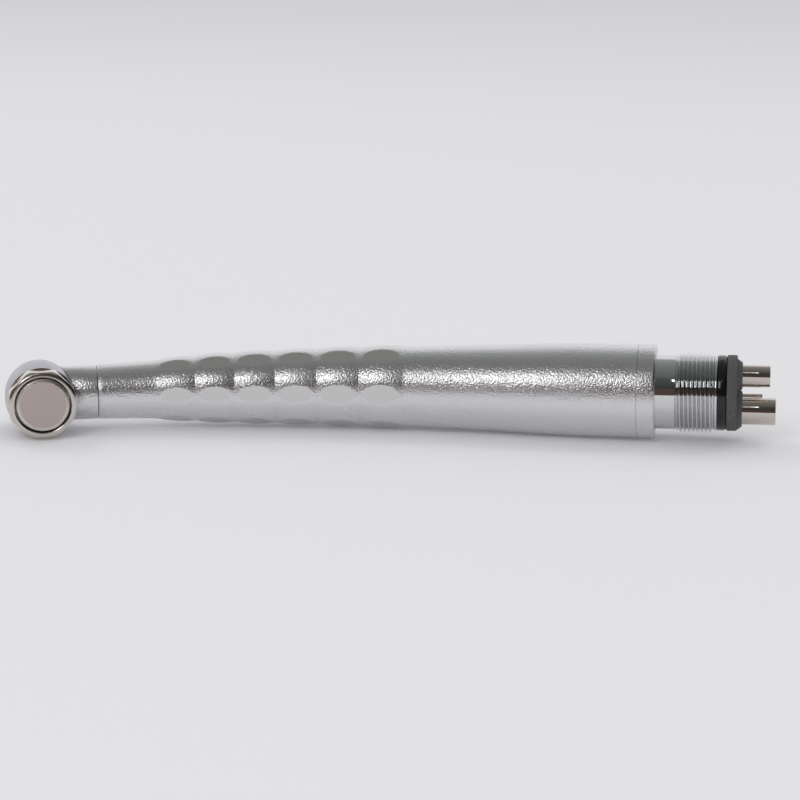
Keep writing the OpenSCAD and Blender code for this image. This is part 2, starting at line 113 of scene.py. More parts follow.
camera_data = bpy.data.cameras.new("camera")
camera = bpy.data.objects.new("camera", camera_data)
bpy.context.scene.collection.objects.link(camera)
camera_data.sensor_width = 36
camera_data.lens = 112.5
camera_data.clip_start, camera_data.clip_end = 0.01, 50
camera.matrix_world = (Matrix.Translation(CAMERA_PLACE) @ Matrix.Rotation(CAMERA_YAW, 4, "Z")
                       @ Matrix.Rotation(math.radians(90) - CAMERA_PITCH, 4, "X")
                       @ Matrix.Rotation(CAMERA_ROLL, 4, "Z"))
bpy.context.scene.camera = camera
print("lens, mm:", camera_data.lens)

# %% [markdown]
# ## Small helpers
# Three things are done over and over. `node` adds one shader node with its settings and links.
# `linear` turns an sRGB hex colour, as a paint chart gives it, into the linear values that
# Blender's shaders work in. `fresh` leaves edit mode and deselects everything, because an
# operator acts on all that is selected.

# %% Helpers for nodes and operators
def node(tree, kind, settings=None, links=None):
    """Adds a node, sets its inputs or properties, and links sources to its inputs."""
    made = tree.nodes.new(kind)
    for key, value in (settings or {}).items():
        if isinstance(key, int) or key in made.inputs:
            made.inputs[key].default_value = value
        else:
            setattr(made, key, value)
    for key, source in (links or {}).items():
        tree.links.new(source, made.inputs[key])
    return made


def linear(code):
    """An sRGB hex colour as linear red, green, blue and alpha."""
    parts = [int(code[i:i + 2], 16) / 255 for i in (1, 3, 5)]
    return tuple(c / 12.92 if c <= 0.04045 else ((c + 0.055) / 1.055) ** 2.4 for c in parts) + (1.0,)


def fresh():
    """Leaves edit mode and deselects everything."""
    if bpy.context.mode != "OBJECT":
        bpy.ops.object.mode_set(mode="OBJECT")
    bpy.ops.object.select_all(action="DESELECT")


print("mid grey #808080 is linear", round(linear("#808080")[0], 3))

# %% [markdown]
# ## The table
# The tool rests on a pale table by its head and by the thickest part of its body. The head is
# slimmer, so the table's plane leans by a little more than a degree against the handle's axis.
# It is a light table: matt paper with a trace of fibre, lit a little from below, which keeps
# the paper bright close to the metal. Paper is all diffuse, so it still shows the soft dark line
# where the metal touches it.

# %% Table
FLOOR_HEIGHT = -7.09 * MM
FLOOR_AT = -14 * MM
FLOOR_SLOPE = 0.02
fresh()
bpy.ops.mesh.primitive_grid_add(x_subdivisions=8, y_subdivisions=8, size=12)
table = bpy.context.object
table.name = "table"
table.data.transform(Matrix.Rotation(math.atan(FLOOR_SLOPE), 4, "Y"))
table.data.transform(Matrix.Translation((FLOOR_AT, 0, FLOOR_HEIGHT)))

paper = bpy.data.materials.new("matt_paper")
paper.use_nodes = True
tree = paper.node_tree
shader = tree.nodes["Principled BSDF"]
shader.inputs["Base Color"].default_value = linear("#EEEDF0")
shader.inputs["Roughness"].default_value = 0.9
shader.inputs["Specular IOR Level"].default_value = 0.1
shader.inputs["Emission Color"].default_value = linear("#FDFCFF")
shader.inputs["Emission Strength"].default_value = 0.07
where = node(tree, "ShaderNodeTexCoord")
fibre = node(tree, "ShaderNodeTexNoise", {"Scale": 900.0, "Detail": 3.0}, {"Vector": where.outputs["Object"]})
bump = node(tree, "ShaderNodeBump", {"Strength": 0.05, "Distance": 0.0001}, {"Height": fibre.outputs["Fac"]})
tree.links.new(bump.outputs["Normal"], shader.inputs["Normal"])
table.data.materials.append(paper)
print("table height under the body, mm:", FLOOR_HEIGHT / MM)

# %% [markdown]
# ## The studio
# A metal tool shows its room more than its own colour. The room here is drawn in the world's
# nodes as wide bands that run along the tool: a dark room in front, where the camera stands, a
# dim ceiling, and a bright wall behind. The angle round the tool is `atan2(up, towards the
# camera)`, and a colour ramp gives each angle its brightness. A second ramp makes the right end
# of the room dark. Paper and rubber scatter light from the whole room, so they get a plain even
# dome instead, and what the camera sees directly past the table is plain pale paper. The Light
# Path node tells these rays apart.

# %% World bands
BANDS = [(0, "#54443F"), (19, "#58493F"), (21, "#3C3D3C"), (50, "#535553"), (58, "#686A68"),
         (92, "#80827F"), (112, "#929491"), (128, "#AAACAA"), (134, "#F0F0F2"), (180, "#F4F4F6")]
ENDS = [(0.0, "#F4F4F6"), (0.22, "#FFFFFF"), (0.72, "#FFFFFF"), (0.9, "#262628")]
DOME_LEVEL = 0.62
world = bpy.data.worlds.new("studio")
bpy.context.scene.world = world
world.use_nodes = True
tree = world.node_tree
background = tree.nodes["Background"]
where = node(tree, "ShaderNodeTexCoord")
parts = node(tree, "ShaderNodeSeparateXYZ", links={0: where.outputs["Generated"]})
front = node(tree, "ShaderNodeMath", {"operation": "MULTIPLY", 1: -1.0}, {0: parts.outputs["Y"]})
turn = node(tree, "ShaderNodeMath", {"operation": "ARCTAN2"}, {0: parts.outputs["Z"], 1: front.outputs[0]})
share = node(tree, "ShaderNodeMath", {"operation": "DIVIDE", 1: math.pi}, {0: turn.outputs[0]})
bands = node(tree, "ShaderNodeValToRGB", links={0: share.outputs[0]})
ramp = bands.color_ramp
ramp.elements[0].color, ramp.elements[1].color = linear(BANDS[0][1]), linear(BANDS[-1][1])
for angle, colour in BANDS[1:-1]:
    ramp.elements.new(angle / 180).color = linear(colour)
along = node(tree, "ShaderNodeMath", {"operation": "MULTIPLY_ADD", 1: 0.5, 2: 0.5}, {0: parts.outputs["X"]})
ends = node(tree, "ShaderNodeValToRGB", links={0: along.outputs[0]})
ramp = ends.color_ramp
ramp.elements[0].color, ramp.elements[1].color = linear(ENDS[0][1]), linear(ENDS[-1][1])
for place, colour in ENDS[1:]:
    ramp.elements.new(place).color = linear(colour)
room = node(tree, "ShaderNodeMix", {"data_type": "RGBA", "blend_type": "MULTIPLY", 0: 1.0},
            {6: bands.outputs["Color"], 7: ends.outputs["Color"]})
path = node(tree, "ShaderNodeLightPath")
dome = node(tree, "ShaderNodeMix", {"data_type": "RGBA", 7: (DOME_LEVEL, DOME_LEVEL, DOME_LEVEL, 1)},
            {0: path.outputs["Is Diffuse Ray"], 6: room.outputs[2]})
plain = node(tree, "ShaderNodeMix", {"data_type": "RGBA", 7: linear("#E5E4E7")},
             {0: path.outputs["Is Camera Ray"], 6: dome.outputs[2]})
tree.links.new(plain.outputs[2], background.inputs["Color"])
print("bands:", len(BANDS))

# %% [markdown]
# ## Lamps
# Two softboxes stand in front. The left one draws the grainy highlight along the handle, and
# the small one puts a streak on the tubes and the thread. Two wide lamps behind the tool light
# the table and cast the short soft shadows towards the viewer. The metal doesn't mirror those two,
# because the bright wall is already there. All lamps stand far enough away that a camera on any
# side stays inside the set.

# %% Lamps
def lamp(name, aim, way, width, height, energy, mirrored=True):
    """A soft rectangular lamp, 0.95 m from the aim in that direction."""
    data = bpy.data.lights.new(name, "AREA")
    data.shape, data.size, data.size_y, data.energy = "RECTANGLE", width, height, energy
    made = bpy.data.objects.new(name, data)
    bpy.context.scene.collection.objects.link(made)
    way = Vector(way).normalized()
    made.matrix_world = (Matrix.Translation(Vector(aim) * MM + way * 0.95)
                         @ way.to_track_quat("Z", "Y").to_matrix().to_4x4())
    made.visible_glossy = mirrored
    print(name, "at, mm:", [round(p / MM) for p in made.matrix_world.translation])


lamp("left_softbox", (-38, 0, 0), (-0.255, -0.78, 0.58), 0.28, 0.32, 1.1)
lamp("small_softbox", (8, 0, 0), (0.03, -0.69, 0.72), 0.06, 0.10, 0.06)
lamp("back_left_lamp", (-40, 0, 0), (-0.62, 0.5, 0.8), 0.30, 0.30, 0.7, mirrored=False)
lamp("back_right_lamp", (-40, 0, 0), (0.55, 0.45, 0.9), 0.30, 0.30, 0.6, mirrored=False)
bpy.context.scene.view_settings.view_transform = "Standard"

# %% [markdown]
# ## Turned parts
# Most of this tool is made on a lathe. A turned part starts as a circle at its first radius and
# level, and the circle is extruded and resized level by level, as a lathe cuts the outline. A
# radius of 0 closes the shape at a pole, and a last level equal to the first closes a ring.
# A Bevel modifier then breaks the sharp edges, because no real edge is perfectly sharp.

# %% A turned part
def turned(name, outline, place, sides=128, edge=0.05, angle=30):
    """outline is a list of (radius, level) in mm along the part's axis."""
    fresh()
    radius, level = outline[0]
    bpy.ops.mesh.primitive_circle_add(vertices=sides, radius=max(radius, 0.001) * MM, fill_type="NOTHING")
    part = bpy.context.object
    part.name = part.data.name = name
    part.data.transform(Matrix.Translation((0, 0, level * MM)))
    bpy.ops.object.mode_set(mode="EDIT")
    bpy.ops.mesh.select_all(action="SELECT")
    for next_radius, next_level in outline[1:]:
        bpy.ops.mesh.extrude_region_move(TRANSFORM_OT_translate={"value": (0, 0, (next_level - level) * MM)})
        grow = max(next_radius, 0.001) / max(radius, 0.001)
        bpy.ops.transform.resize(value=(grow, grow, 1))
        radius, level = next_radius, next_level
    bpy.ops.mesh.select_all(action="SELECT")
    bpy.ops.mesh.remove_doubles(threshold=0.002 * MM)
    bpy.ops.mesh.normals_make_consistent(inside=False)
    bpy.ops.object.mode_set(mode="OBJECT")
    if edge:
        bevel(part, edge, angle)
    part.data.transform(place)
    bpy.ops.object.shade_smooth_by_angle(angle=math.radians(30))
    return part


def bevel(part, edge, angle=30, segments=3):
    """Breaks the edges sharper than the angle, by a width in mm."""
    made = part.modifiers.new("edge", "BEVEL")
    made.width, made.segments = edge * MM, segments
    made.limit_method, made.angle_limit = "ANGLE", math.radians(angle)
    made.harden_normals = False
    bpy.context.view_layer.objects.active = part
    bpy.ops.object.modifier_apply(modifier=made.name)


def tell(part):
    """Prints a piece's size and its number of faces."""
    size = [round(d / MM, 2) for d in part.dimensions]
    print(part.name, "size, mm:", size, "faces:", len(part.data.polygons))


# %% [markdown]
# ## The head
# The head's shell is turned from bar, widest a little above the neck, and rounds down to a flat
# nose with the hole for the bur. Its outline is one long curve, so it gets many levels and no
# bevel except at the nose. The inside is bored for the bearings and the turbine.

# %% Head shell
HEAD_R, HEAD_LOW, WIDEST, FLANGE = 5.3, -5.4, 2.4, 5.6
FOOT_R, FOOT_CORNER = 2.95, 0.45


def head_outline(bottom_levels=30):
    """The outside of the head from the flange down to the nose, in mm."""
    points = [(HEAD_R - 0.14 * (1 - k / 8) ** 2, FLANGE - (FLANGE - WIDEST) * k / 8) for k in range(9)]
    wide = HEAD_R - FOOT_R - FOOT_CORNER
    fall = WIDEST - HEAD_LOW - FOOT_CORNER
    for k in range(1, bottom_levels + 1):
        share = math.sin(math.pi / 2 * k / bottom_levels)
        round_share = math.sqrt(max(0, 1 - share ** 2.1))
        points.append((FOOT_R + FOOT_CORNER + wide * round_share, WIDEST - fall * share))
    for k in range(1, 9):
        corner = math.pi / 2 * k / 8
        points.append((FOOT_R + FOOT_CORNER * math.cos(corner),
                       HEAD_LOW + FOOT_CORNER * (1 - math.sin(corner))))
    return points


inside = [(2.35, HEAD_LOW), (2.1, HEAD_LOW + 0.22), (2.1, -4.45), (3.3, -4.45), (3.3, -1.75), (4.3, -1.75),
          (4.3, 2.13), (4.62, 2.13), (4.62, FLANGE)]
outside = head_outline()
head_shell = turned("head_shell_turned", outside + inside + outside[:1], HEAD_FRAME, sides=160, edge=0)
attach(head_shell, "handle")
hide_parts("head_shell")
tell(head_shell)

# %% [markdown]
# ## The neck
# A short sleeve joins the handle to the head. Its front end follows the round of the head, so
# it starts as a tube that is too long and is cut with a slightly bigger copy of the head's
# outside. The cut leaves the fine dark line that shows between the two finishes.

# %% Neck sleeve
neck_sleeve = turned("neck_sleeve_turned", [
    (3.36, -5.6), (4.1, -5.6), (4.1, -0.07), (4.06, -0.02), (3.36, -0.02), (3.36, -5.6)],
    NECK_FRAME, sides=144, edge=0)
cutter = turned("head_cutter", [(0, FLANGE)] + outside + [(0, HEAD_LOW)],
                HEAD_FRAME @ Matrix.Scale(1.006, 4), sides=160, edge=0)
cut = neck_sleeve.modifiers.new("fit", "BOOLEAN")
cut.operation, cut.solver, cut.object = "DIFFERENCE", "EXACT", cutter
fresh()
neck_sleeve.select_set(True)
bpy.context.view_layer.objects.active = neck_sleeve
bpy.ops.object.modifier_apply(modifier="fit")
bpy.data.objects.remove(cutter)
bevel(neck_sleeve, 0.06, 35, 2)
bpy.ops.object.shade_smooth_by_angle(angle=math.radians(30))
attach(neck_sleeve, "handle")
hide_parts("neck_sleeve")
tell(neck_sleeve)

# %% [markdown]
# ## The back cap
# The cap screws into the head with a wrench, so its rim has eight flats. It is turned first,
# with a rounded top edge and a round ledge at its foot, and the flats are then cut by
# intersecting the rim with an eight-sided prism, which leaves curved facets with crisp edges.

# %% Back cap
CAP_TOP, CAP_R, HOLE_R, ACROSS_FLATS = 8.26, 5.2, 4.2, 9.84
LEDGE = 5.9
crown = [(CAP_R - 0.72 + 0.72 * math.sin(math.radians(t)), CAP_TOP - 0.85 + 0.85 * math.cos(math.radians(t)))
         for t in (12, 24, 36, 48, 60, 72, 84, 90)]
back_cap = turned("back_cap_turned", [
    (HOLE_R, CAP_TOP - 0.16), (HOLE_R + 0.04, CAP_TOP - 0.06), (HOLE_R + 0.13, CAP_TOP)] + crown + [
    (CAP_R, LEDGE), (CAP_R, FLANGE + 0.14), (CAP_R - 0.1, FLANGE + 0.03),
    (4.6, FLANGE + 0.03), (4.6, 2.15), (3.3, 2.15), (3.3, 4.98), (1.7, 4.98), (1.7, 5.4), (HOLE_R, 5.4),
    (HOLE_R, CAP_TOP - 0.16)], Matrix.Identity(4), sides=160, edge=0)
fresh()
prism_r = ACROSS_FLATS / 2 / math.cos(math.radians(22.5))
bpy.ops.mesh.primitive_cylinder_add(vertices=8, radius=prism_r * MM, depth=6 * MM)
prism = bpy.context.object
prism.data.transform(Matrix.Translation((0, 0, (LEDGE + 3) * MM))
                     @ Matrix.Rotation(math.radians(22.5), 4, "Z"))
bpy.ops.mesh.primitive_cylinder_add(vertices=64, radius=7 * MM, depth=8 * MM)
foot = bpy.context.object
foot.data.transform(Matrix.Translation((0, 0, (LEDGE - 4) * MM)))
for solid, operation, target in ((prism, "UNION", foot), (back_cap, "INTERSECT", prism)):
    fresh()
    solid.select_set(True)
    bpy.context.view_layer.objects.active = solid
    made = solid.modifiers.new("flats", "BOOLEAN")
    made.operation, made.solver, made.object = operation, "EXACT", target
    bpy.ops.object.modifier_apply(modifier="flats")
for helper in (prism, foot):
    bpy.data.objects.remove(helper)
bevel(back_cap, 0.05, 18, 2)
back_cap.data.transform(HEAD_FRAME)
bpy.ops.object.shade_smooth_by_angle(angle=math.radians(25))
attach(back_cap, "handle")
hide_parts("back_cap")
tell(back_cap)

# %% [markdown]
# ## The push button
# The button sits in the cap's hole with a thin dark gap round it. It is turned too: a flat,
# finely ground face, a wide rounded rim, and a hollow back that presses on the chuck's plunger.
# The rim is blasted, and it is also painted lighter as a painted highlight, so its faces are noted here and
# get a finish of their own later.

# %% Push button
BUTTON_FACE, BUTTON_R = 8.36, 4.02
FILLET = 0.55
fillet = [(BUTTON_R - FILLET + FILLET * math.sin(math.radians(t)),
           BUTTON_FACE - 0.8 * FILLET * (1 - math.cos(math.radians(t)))) for t in range(0, 91, 10)]
push_button = turned("push_button_turned", [
    (0, BUTTON_FACE), (BUTTON_R - FILLET - 0.05, BUTTON_FACE)] + fillet + [
    (BUTTON_R, 7.7), (3.75, 7.7), (3.75, 6.48), (BUTTON_R, 6.48), (BUTTON_R, 6.25), (3.3, 6.25), (3.3, 7.7),
    (0.8, 7.7), (0.8, 5.62), (0, 5.62)], HEAD_FRAME, sides=144, edge=0)
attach(push_button, "button")
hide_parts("push_button")
button_rim = []
for face in push_button.data.polygons:
    where = HEAD_FRAME.inverted() @ face.center / MM
    if where.z > 7.9 and math.hypot(where.x, where.y) > BUTTON_R - FILLET - 0.04:
        button_rim.append(face.index)
print("faces in the button's rounded rim:", len(button_rim))
tell(push_button)

# %% [markdown]
# ## The handle
# The handle's skin is more than a lathe can turn: six crowned grip bands, six small finger
# flats milled into each band, and a bend. A flat runs out of the crown on all sides, so its
# outline is an oval. The skin is made as sheet metal would be: a flat, finely divided grid is
# rolled up round the bent axis. Each row of the grid gets a place along the axis, and each column
# an angle, and one function gives the radius there. The last rows turn in at the rear rim and
# come back as the bore, so the sheet closes on itself.

# %% The handle's outline
NECK_R, GRIP_FRONT, GRIP_REAR, BODY_R, WALL = 4.11, 4.45, 6.14, 7.07, 0.7
BAND_COUNT, FIRST_RING, FIRST_BAND, BAND_GROWTH = 6, -49.5, 5.9, 0.18
BAND_CROWN, CROWN_GROWTH, FLAT_SHARE = 0.22, 0.011, 0.84
BACK = 24.1
RING = [FIRST_RING + i * FIRST_BAND + BAND_GROWTH * i * (i - 1) / 2 for i in range(BAND_COUNT + 1)]


def grip(share):
    """A radius between the first grip ring's and the last's."""
    return GRIP_FRONT + share * (GRIP_REAR - GRIP_FRONT)


OUTLINE = [(-58.5, NECK_R), (RING[0], GRIP_FRONT), (RING[1], grip(0.28)), (RING[2], grip(0.48)),
           (RING[4], grip(0.74)), (RING[6], GRIP_REAR), (3.7, GRIP_REAR + 0.49), (11, BODY_R - 0.13),
           (16, BODY_R - 0.02), (BACK, BODY_R)]


def slope(i):
    """The outline's slope at its point i, from the points on both sides."""
    before, after = OUTLINE[max(i - 1, 0)], OUTLINE[min(i + 1, len(OUTLINE) - 1)]
    return (after[1] - before[1]) / (after[0] - before[0])


def smooth_radius(s):
    """The handle's radius without bands, on a smooth curve through the outline's points."""
    i = max(k for k in range(len(OUTLINE) - 1) if k == 0 or s >= OUTLINE[k][0])
    width = OUTLINE[i + 1][0] - OUTLINE[i][0]
    t = (s - OUTLINE[i][0]) / width
    near, far = (1 + 2 * t) * (1 - t) ** 2, t * t * (3 - 2 * t)
    lean = slope(i) * t * (1 - t) ** 2 - slope(i + 1) * t * t * (1 - t)
    return OUTLINE[i][1] * near + OUTLINE[i + 1][1] * far + width * lean


def handle_radius(s, angle):
    """The skin's radius in mm at s, and how far a finger flat has cut below the crown."""
    radius = smooth_radius(s)
    for i in range(BAND_COUNT):
        if RING[i] <= s < RING[i + 1]:
            u = 2 * (s - RING[i]) / (RING[i + 1] - RING[i]) - 1
            crown = BAND_CROWN + CROWN_GROWTH * i
            crowned = radius + crown * (1 - u * u)
            off = math.radians(abs((math.degrees(angle) + 30) % 60 - 30))
            flat = (radius + crown * (1 - FLAT_SHARE ** 2)) / math.cos(off)
            return min(crowned, flat), max(0.0, crowned - flat)
    return radius, 0.0


print("rings at s, mm:", [round(r, 2) for r in RING])

# %% [markdown]
# The rows are closest together in the grip, where the flats are, and wider on the plain rear.
# Two rows stand close on both sides of each ring, so that the ring keeps a crisp edge.
# An attribute marks the flats, because a smoother cutter leaves less grain there.
# `rolled` is the roll-up itself. It is used again for the connector's screw thread.

# %% Roll a grid round the axis
def rolled(name, stations, place, columns=180, mark=None):
    """Rolls a grid up: place(station, angle) gives the point for each row and column, and
    mark(station, angle) may give a value that a material reads from the attribute "mark"."""
    fresh()
    rows = len(stations) - 1
    bpy.ops.mesh.primitive_grid_add(x_subdivisions=rows, y_subdivisions=columns, size=2)
    part = bpy.context.object
    part.name = part.data.name = name
    marks = part.data.attributes.new("mark", "FLOAT", "POINT") if mark else None
    for corner in part.data.vertices:
        row = round((corner.co.x + 1) / 2 * rows)
        angle = 2 * math.pi * round((corner.co.y + 1) / 2 * columns) / columns
        corner.co = place(stations[row], angle)
        if mark:
            marks.data[corner.index].value = mark(stations[row], angle)
    bpy.ops.object.mode_set(mode="EDIT")
    bpy.ops.mesh.select_all(action="SELECT")
    bpy.ops.mesh.remove_doubles(threshold=0.001 * MM)
    bpy.ops.mesh.normals_make_consistent(inside=False)
    bpy.ops.object.mode_set(mode="OBJECT")
    bpy.ops.object.shade_smooth_by_angle(angle=math.radians(40))
    return part


stations = [("skin", -58.5 + 0.05), ("skin", -58.42)]
stations += [("skin", -58.3 + (RING[0] + 58.3) * k / 14) for k in range(14)]
for i in range(BAND_COUNT):
    stations += [("skin", RING[i]), ("skin", RING[i] + 0.04)]
    stations += [("skin", RING[i] + (RING[i + 1] - RING[i]) * k / 34) for k in range(1, 34)]
    stations += [("skin", RING[i + 1] - 0.04)]
stations += [("skin", RING[-1] + (BACK - 0.03 - RING[-1]) * k / 56) for k in range(57)]
stations += [("bore", BACK), ("bore", BACK - 0.01), ("bore", BACK - 6), ("bore", BACK - 12)]
stations += [("wall", s) for s in [6, 0] + RING[::-1] + [-54, -58.45]]
stations += stations[:1]


def skin_place(station, angle):
    """The point of the handle's sheet for one row and column."""
    side, s = station
    if side == "skin":
        radius = handle_radius(s, angle)[0]
        radius -= 0.08 * max(0.0, 1 - (s + 58.45) / 0.12)
    elif side == "bore":
        radius = BODY_R - 0.03 if s == BACK else 5.85
    else:
        radius = smooth_radius(s) - WALL
    return axis_place(s * MM, radius * MM, angle)


def flat_mark(station, angle):
    """1 well inside a finger flat, 0 outside."""
    side, s = station
    return min(1.0, handle_radius(s, angle)[1] / 0.02) if side == "skin" else 0.0


handle_shell = rolled("handle_skin", stations, skin_place, mark=flat_mark)
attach(handle_shell, "handle")
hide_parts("handle_shell")
tell(handle_shell)

# %% [markdown]
# ## The springs
# Two springs sit inside the head. One lifts the button, and a smaller one lifts the plunger that
# opens the chuck. Each is one wire wound in a helix, so a grid rolled round a helix makes it.
# The springs keep one length: they don't get shorter as their joints move.

# %% Springs
BUTTON_TRAVEL, PLUNGER_TRAVEL = 0.8, 0.5


def spring(name, mean, wire, low, high, turns, columns=10):
    """A coil of that mean radius and wire radius between two levels of the head, in mm."""
    rows = round(turns * 24)
    stations = [(0, 0)] + [(k / rows, wire) for k in range(rows + 1)] + [(1, 0)]

    def place(station, angle):
        share, radius = station
        turn = 2 * math.pi * turns * share
        out = mean + radius * math.cos(angle)
        level = low + wire + (high - low - 2 * wire) * share + radius * math.sin(angle)
        return HEAD_FRAME @ (Vector((out * math.cos(turn), out * math.sin(turn), level)) * MM)

    return rolled(name, stations, place, columns)


springs = []
for node_name, body, joint, travel, mean, wire, low, high, turns in (
        ("button_spring", "handle", "button_press", BUTTON_TRAVEL, 2.5, 0.16, 5.41, 7.69, 3.5),
        ("chuck_spring", "rotor", "chuck_release", PLUNGER_TRAVEL, 0.87, 0.1, 2.91, 3.99, 2)):
    coil = spring(f"{node_name}_wound", mean, wire, low, high, turns)
    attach(coil, body)
    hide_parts(node_name)
    foot = HEAD_FRAME @ Vector((0, 0, low * MM))
    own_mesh(coil)
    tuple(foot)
    springs.append(coil)
    tell(coil)

# %% [markdown]
# ## The rear ring
# A separate ring closes the handle's rear end. A hair-fine gap in front of it shows as a fine
# line, and its rear edge is well rounded, because a hand slides over it.

# %% Rear ring
RING_FRONT, RING_REAR, RING_BORE = -8.575, -5.9, 5.67
RING_ROUND, RING_BREAK = 0.34, 0.03
corner = [(BODY_R - RING_ROUND + RING_ROUND * math.cos(math.radians(15 * k)),
           RING_REAR - RING_ROUND + RING_ROUND * math.sin(math.radians(15 * k))) for k in range(7)]
rear_ring = turned("rear_ring_turned", [
    (RING_BORE, RING_FRONT), (BODY_R - RING_BREAK, RING_FRONT), (BODY_R, RING_FRONT + RING_BREAK)]
    + corner + [(RING_BORE, RING_REAR), (RING_BORE, RING_FRONT)], REAR_FRAME, sides=160, edge=0)
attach(rear_ring, "handle")
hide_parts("rear_ring")
tell(rear_ring)

# %% [markdown]
# ## The connector and its screw thread
# The chrome connector takes the hose's screw nut. A thread is not a row of rings: each ridge
# climbs to the next in one turn. Rolling the grid with the thread's outline shifted by one pitch
# per turn gives the true helix. The thread's height fades in and out over about half a turn at
# each end, as a cutting tool enters and leaves the metal.

# %% Connector
THREAD_R, PITCH, CHROME_R, CONNECTOR_END = 6.0, 0.635, 5.63, 3.3
THREAD_FROM, THREAD_TO, THREAD_ROOT, THREAD_FADE = -2.86, 2.86, 5.45, 0.35


def thread_height(x, angle):
    """The height in mm of the thread over its root at x, for the angle round the axis."""
    phase = ((x - THREAD_FROM) / PITCH - angle / (2 * math.pi)) % 1.0
    ridge = (0.5 - 0.5 * math.cos(2 * math.pi * phase)) ** 0.6
    fade_in = min(1.0, max(0.0, (x - THREAD_FROM) / THREAD_FADE))
    fade_out = min(1.0, max(0.0, (THREAD_TO - x) / THREAD_FADE))
    return (THREAD_R - THREAD_ROOT) * ridge * (fade_in * fade_out)


def connector_place(station, angle):
    """The point of the connector's sheet for one row and column."""
    kind, x, radius = station
    if kind == "thread":
        radius = THREAD_ROOT + thread_height(x, angle)
    return Vector((x, radius * math.cos(angle), radius * math.sin(angle))) * MM


stations = [("plain", x, r) for x, r in (
    (-12, 0), (-12, 5.55), (-8.6, 5.55), (-8.5, CHROME_R), (-6, CHROME_R), (-5, CHROME_R),
    (-4, CHROME_R), (-3.1, CHROME_R), (-2.95, CHROME_R - 0.01))]
THREAD_ROWS = 170
stations += [("thread", THREAD_FROM + (THREAD_TO - THREAD_FROM) * k / THREAD_ROWS, 0)
             for k in range(THREAD_ROWS + 1)]
stations += [("plain", x, r) for x, r in (
    (2.9, CHROME_R), (2.98, CHROME_R + 0.09), (3.02, CHROME_R + 0.12), (3.17, CHROME_R + 0.12),
    (3.24, CHROME_R + 0.1), (3.29, CHROME_R + 0.04), (CONNECTOR_END, CHROME_R - 0.02), (CONNECTOR_END, 0))]
connector = rolled("connector_threaded", stations, connector_place, columns=160)
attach(connector, "handle")
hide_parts("connector_body")
tell(connector)

# %% [markdown]
# ## The gaskets
# Two rubber gaskets cover the connector's end. The front one is a glossy disc with a rounded
# rear edge. The rear one is matt, and grips each tube with a small cone. The cones are turned in
# place on their own axes and then joined to the disc with a Boolean, so that a bevel can round
# the inner corner where cone and disc meet, as in a moulded part.

# %% Gaskets
LINES = {"exhaust": (0, -2.72, 2.05, 0.36, 12.0), "drive_air": (0, 2.65, 1.67, 0.38, 11.1),
         "water": (3.4, -1.55, 0.8, 0.35, 10.0), "chip_air": (3.4, 1.55, 0.8, 0.35, 10.0)}
GASKET_MID, GASKET_END, COLLAR_END = 4.72, 6.2, 7.0
front_gasket = turned("front_gasket_moulded", [
    (0, 3.32), (5.5, 3.32), (5.6, 3.36), (5.65, 3.48), (5.66, 3.9), (5.65, 4.3), (5.6, 4.5), (5.5, 4.64),
    (5.36, 4.7), (0, 4.7)], REAR_FRAME, sides=128, edge=0)
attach(front_gasket, "handle")
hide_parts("front_gasket")
tell(front_gasket)

rear_gasket = turned("rear_gasket_moulded", [
    (0, GASKET_MID), (5.58, GASKET_MID), (5.66, GASKET_MID + 0.04), (5.7, GASKET_MID + 0.14), (5.71, 5.45),
    (5.7, GASKET_END - 0.16), (5.67, GASKET_END - 0.06), (5.58, GASKET_END), (0, GASKET_END)],
    REAR_FRAME, sides=128, edge=0)
for line, (y, z, radius, wall, end) in LINES.items():
    wide = 0.9 if radius > 1 else 0.7
    cone = turned("cone", [
        (0, GASKET_MID + 0.3), (radius + wide, GASKET_MID + 0.3), (radius + wide, GASKET_END),
        (radius + wide - 0.08, GASKET_END + 0.14), (radius + 0.45 * wide, COLLAR_END - 0.1),
        (radius + 0.45 * wide - 0.12, COLLAR_END), (0, COLLAR_END)],
        Matrix.Translation((0, y * MM, z * MM)) @ REAR_FRAME, sides=64, edge=0)
    fresh()
    rear_gasket.select_set(True)
    bpy.context.view_layer.objects.active = rear_gasket
    made = rear_gasket.modifiers.new("cone", "BOOLEAN")
    made.operation, made.solver, made.object = "UNION", "EXACT", cone
    bpy.ops.object.modifier_apply(modifier="cone")
    bpy.data.objects.remove(cone)
bevel(rear_gasket, 0.07, 35, 2)
bpy.ops.object.shade_smooth_by_angle(angle=math.radians(35))
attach(rear_gasket, "handle")
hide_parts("rear_gasket")
tell(rear_gasket)

# %% [markdown]
# ## The tube ends
# Each line ends in a thin nickel-plated tube, cut square and lightly rounded inside and out. A
# real bore matters here, because the tubes are seen from behind too.

# %% Tube ends
TUBE_ROOT, TUBE_MID, TUBE_RIM, IN_GASKET = 4.9, 9.0, 0.09, 0.18
for line, (y, z, radius, wall, end) in LINES.items():
    bore = radius - wall
    held = radius - IN_GASKET
    stub = turned(f"{line}_tube_end", [
        (bore, TUBE_ROOT), (held, TUBE_ROOT), (held, COLLAR_END - 0.06), (radius, COLLAR_END - 0.04),
        (radius, TUBE_MID), (radius, end - TUBE_RIM), (radius - 0.03, end - 0.03), (radius - TUBE_RIM, end),
        (bore + 0.12, end), (bore + 0.03, end - 0.05), (bore, end - 0.14), (bore, TUBE_ROOT)],
        Matrix.Translation((0, y * MM, z * MM)) @ REAR_FRAME, sides=96, edge=0)
    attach(stub, "handle")
    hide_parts(f"{line}_stub")
    tell(stub)

# %% [markdown]
# ## Finishes
# Every finish starts from the real metal and how its surface was made. `metal` makes a
# Principled material with the starting values, and each cell then adds the marks of its own
# process. All patterns read Object coordinates, which are metres here, so a noise scale is one
# divided by the size of a grain in metres. Metals keep the default IOR: their colour is their
# reflection.

